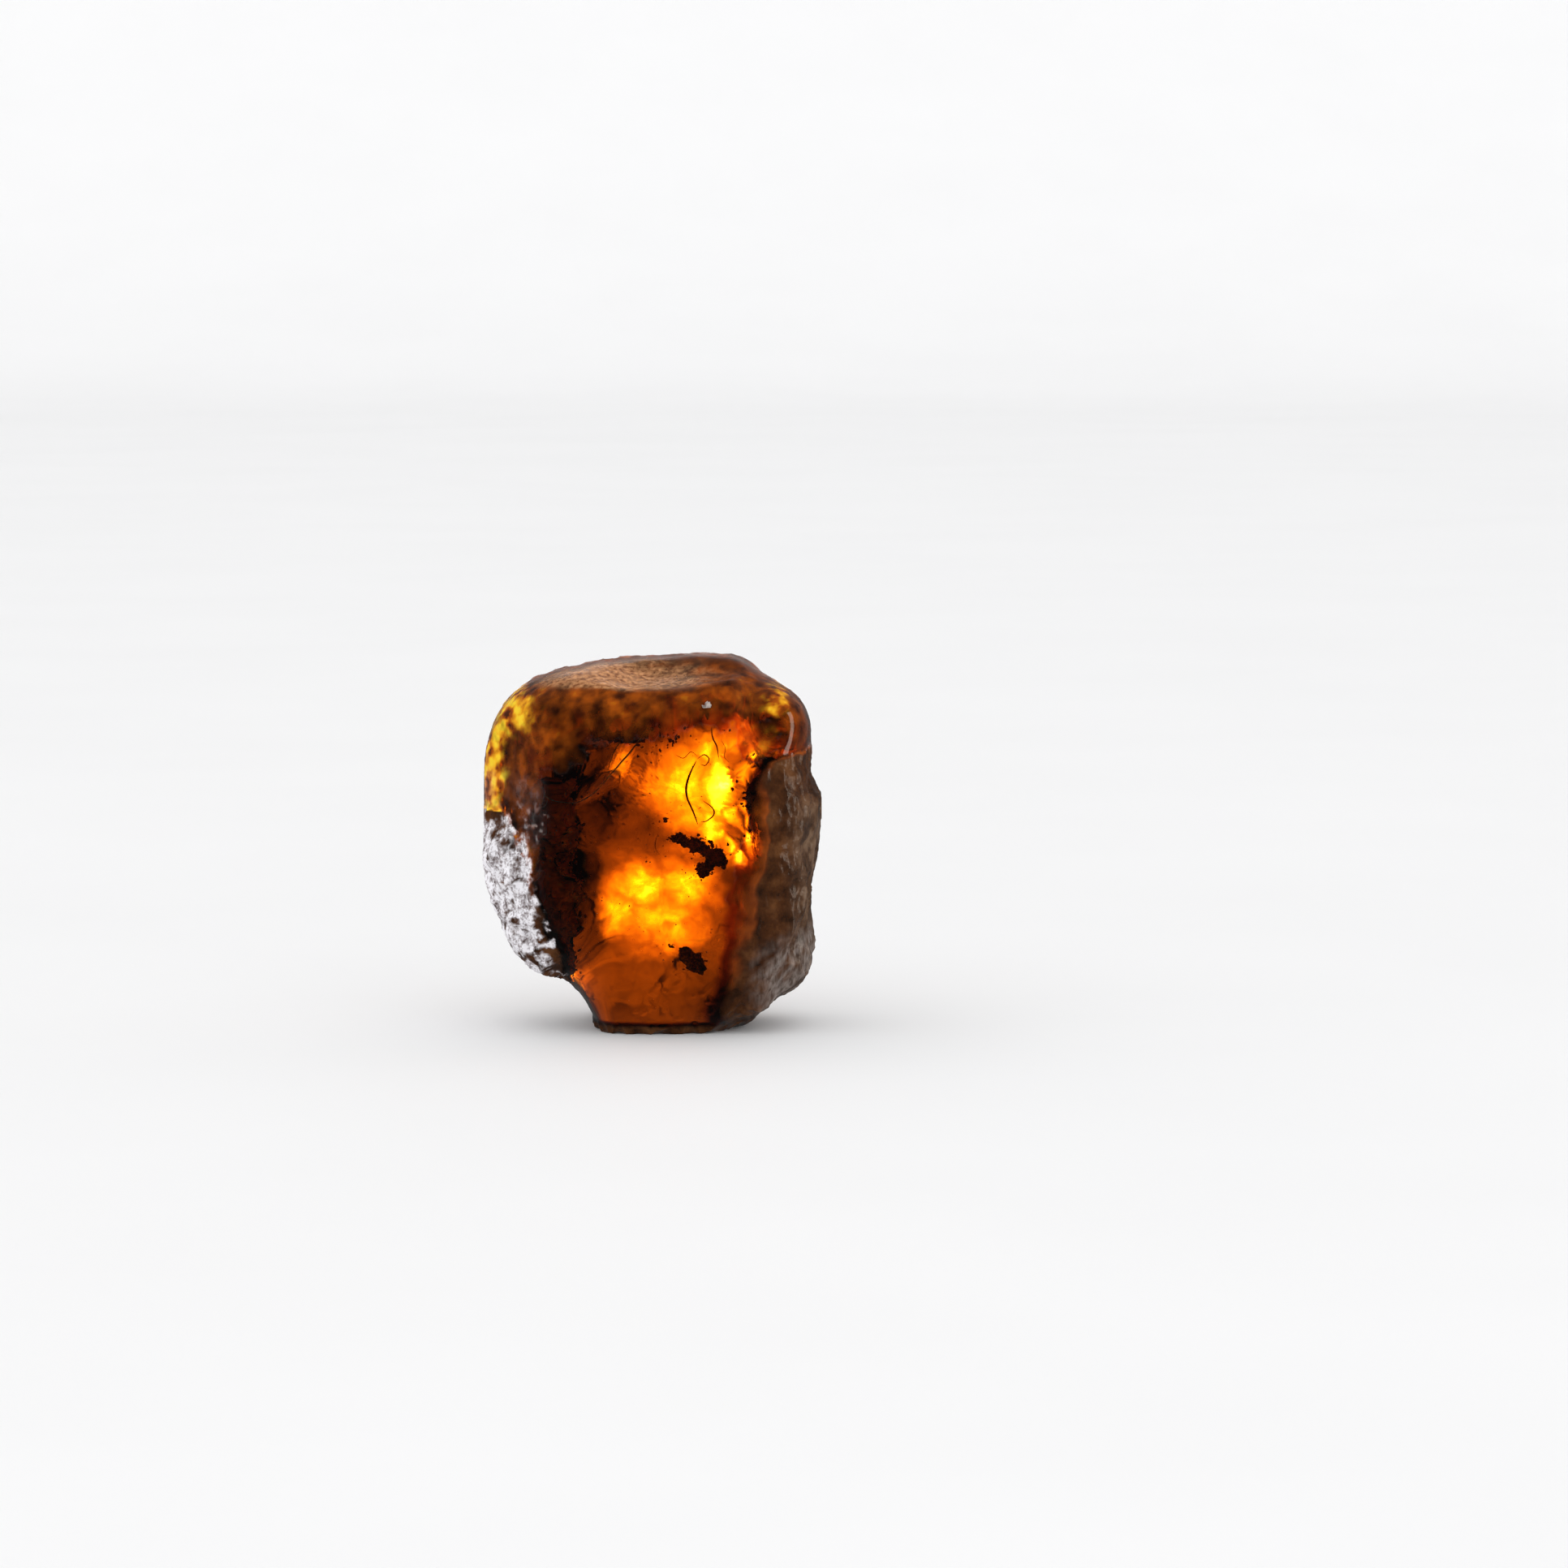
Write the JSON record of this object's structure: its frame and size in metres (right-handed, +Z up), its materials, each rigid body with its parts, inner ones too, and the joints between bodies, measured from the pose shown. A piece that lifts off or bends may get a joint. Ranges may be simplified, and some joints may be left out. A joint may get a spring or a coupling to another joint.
{
  "type": "raw amber piece",
  "caption": "Raw lump of fossil resin: a blocky translucent piece with weathered rind on its flanks and back, shell-shaped scars, clots of soil and bark sealed inside and a broken flat base to stand on.",
  "frame": {"origin": "middle of the lump's bounding box in plan, on the surface that it rests on", "axes": "+Z is up along the lump's longest way, the broad clear face looks along -Y and its thickness lies along Y, +X is to the right seen from the clear face"},
  "size_m": [0.0218, 0.0146, 0.0239],
  "materials": {
    "amber": "glossy clear resin with matte rind",
    "soil": "matte old soil sealed in the resin",
    "bark": "matte bark crumbs sealed in the resin"
  },
  "bodies": {
    "root": {"amber_lump": "amber", "amber_front": "amber", "soil_clot": "soil", "bark_clot_middle": "bark", "bark_clot_low": "bark", "bark_clot_right": "bark", "bark_clot_high": "bark"}
  },
  "joints": []
}
